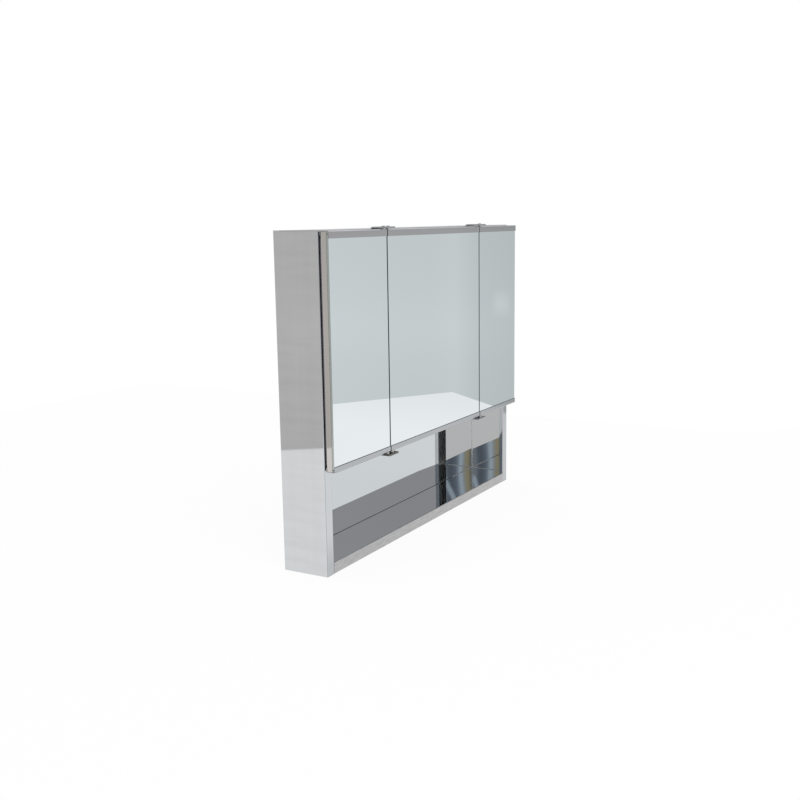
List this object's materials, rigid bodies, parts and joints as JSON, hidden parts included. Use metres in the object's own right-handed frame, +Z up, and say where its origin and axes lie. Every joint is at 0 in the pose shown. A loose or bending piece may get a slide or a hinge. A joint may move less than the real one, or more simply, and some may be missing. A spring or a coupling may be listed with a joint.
{
  "type": "first aid cabinet",
  "caption": "Stainless steel wall first aid cabinet: mirror doors on pivot hinges close a shelved upper part over an open, polished lower shelf.",
  "frame": {"origin": "on the base plane, under the middle of the bounding box", "axes": "+X to the cabinet's right as seen from the front, +Y to the wall, +Z up"},
  "size_m": [0.8, 0.126, 0.631],
  "materials": {
    "brushed_steel": "fine brushed stainless steel",
    "polished_steel": "polished stainless steel",
    "zinc_steel": "plain bright plated steel",
    "mirror_glass": "silvered float glass",
    "core_board": "raw hardboard",
    "nylon": "moulded nylon",
    "rubber": "soft black rubber",
    "ferrite": "sintered ferrite"
  },
  "bodies": {
    "cabinet": {"left_side_panel": "brushed_steel", "right_side_panel": "brushed_steel", "top_panel": "brushed_steel", "compartment_floor": "brushed_steel", "lower_shelf": "brushed_steel", "upper_shelf": "brushed_steel", "back_panel": "polished_steel", "bottom_tray": "polished_steel", "hanger_plate_left": "zinc_steel", "hanger_plate_right": "zinc_steel", "hinge_bracket_top_left": "zinc_steel", "hinge_bracket_top_right": "zinc_steel", "hinge_bracket_bottom_left": "zinc_steel", "hinge_bracket_bottom_right": "zinc_steel", "lower_shelf_bracket_left": "zinc_steel", "lower_shelf_bracket_right": "zinc_steel", "upper_shelf_bracket_left": "zinc_steel", "upper_shelf_bracket_right": "zinc_steel", "left_door_top_pin": "polished_steel", "left_door_bottom_pin": "polished_steel", "left_catch_housing": "nylon", "left_catch_magnet": "ferrite", "middle_door_top_pin": "polished_steel", "middle_door_bottom_pin": "polished_steel", "middle_catch_housing": "nylon", "middle_catch_magnet": "ferrite", "right_door_top_pin": "polished_steel", "right_door_bottom_pin": "polished_steel", "right_catch_housing": "nylon", "right_catch_magnet": "ferrite"},
    "left_door": {"left_door_pan": "brushed_steel", "left_door_top_channel": "brushed_steel", "left_door_bottom_channel": "brushed_steel", "left_door_mirror": "mirror_glass", "left_door_core_board": "core_board", "left_door_top_bush": "nylon", "left_door_bottom_bush": "nylon", "left_door_striker": "zinc_steel", "left_door_buffer": "rubber"},
    "middle_door": {"middle_door_pan": "brushed_steel", "middle_door_top_channel": "brushed_steel", "middle_door_bottom_channel": "brushed_steel", "middle_door_mirror": "mirror_glass", "middle_door_core_board": "core_board", "middle_door_top_bush": "nylon", "middle_door_bottom_bush": "nylon", "middle_door_striker": "zinc_steel", "middle_door_buffer": "rubber"},
    "right_door": {"right_door_pan": "brushed_steel", "right_door_top_channel": "brushed_steel", "right_door_bottom_channel": "brushed_steel", "right_door_mirror": "mirror_glass", "right_door_core_board": "core_board", "right_door_top_bush": "nylon", "right_door_bottom_bush": "nylon", "right_door_striker": "zinc_steel", "right_door_buffer": "rubber"}
  },
  "joints": [
    {"name": "left_door_hinge", "type": "hinge", "parent": "cabinet", "child": "left_door", "pos_m": [-0.2095, -0.0512, 0.41], "axis": [0, 0, 1], "range_deg": [0, 90]},
    {"name": "middle_door_hinge", "type": "hinge", "parent": "cabinet", "child": "middle_door", "pos_m": [-0.1925, -0.0512, 0.41], "axis": [0, 0, -1], "range_deg": [0, 90]},
    {"name": "right_door_hinge", "type": "hinge", "parent": "cabinet", "child": "right_door", "pos_m": [0.2095, -0.0512, 0.41], "axis": [0, 0, -1], "range_deg": [0, 90]}
  ]
}
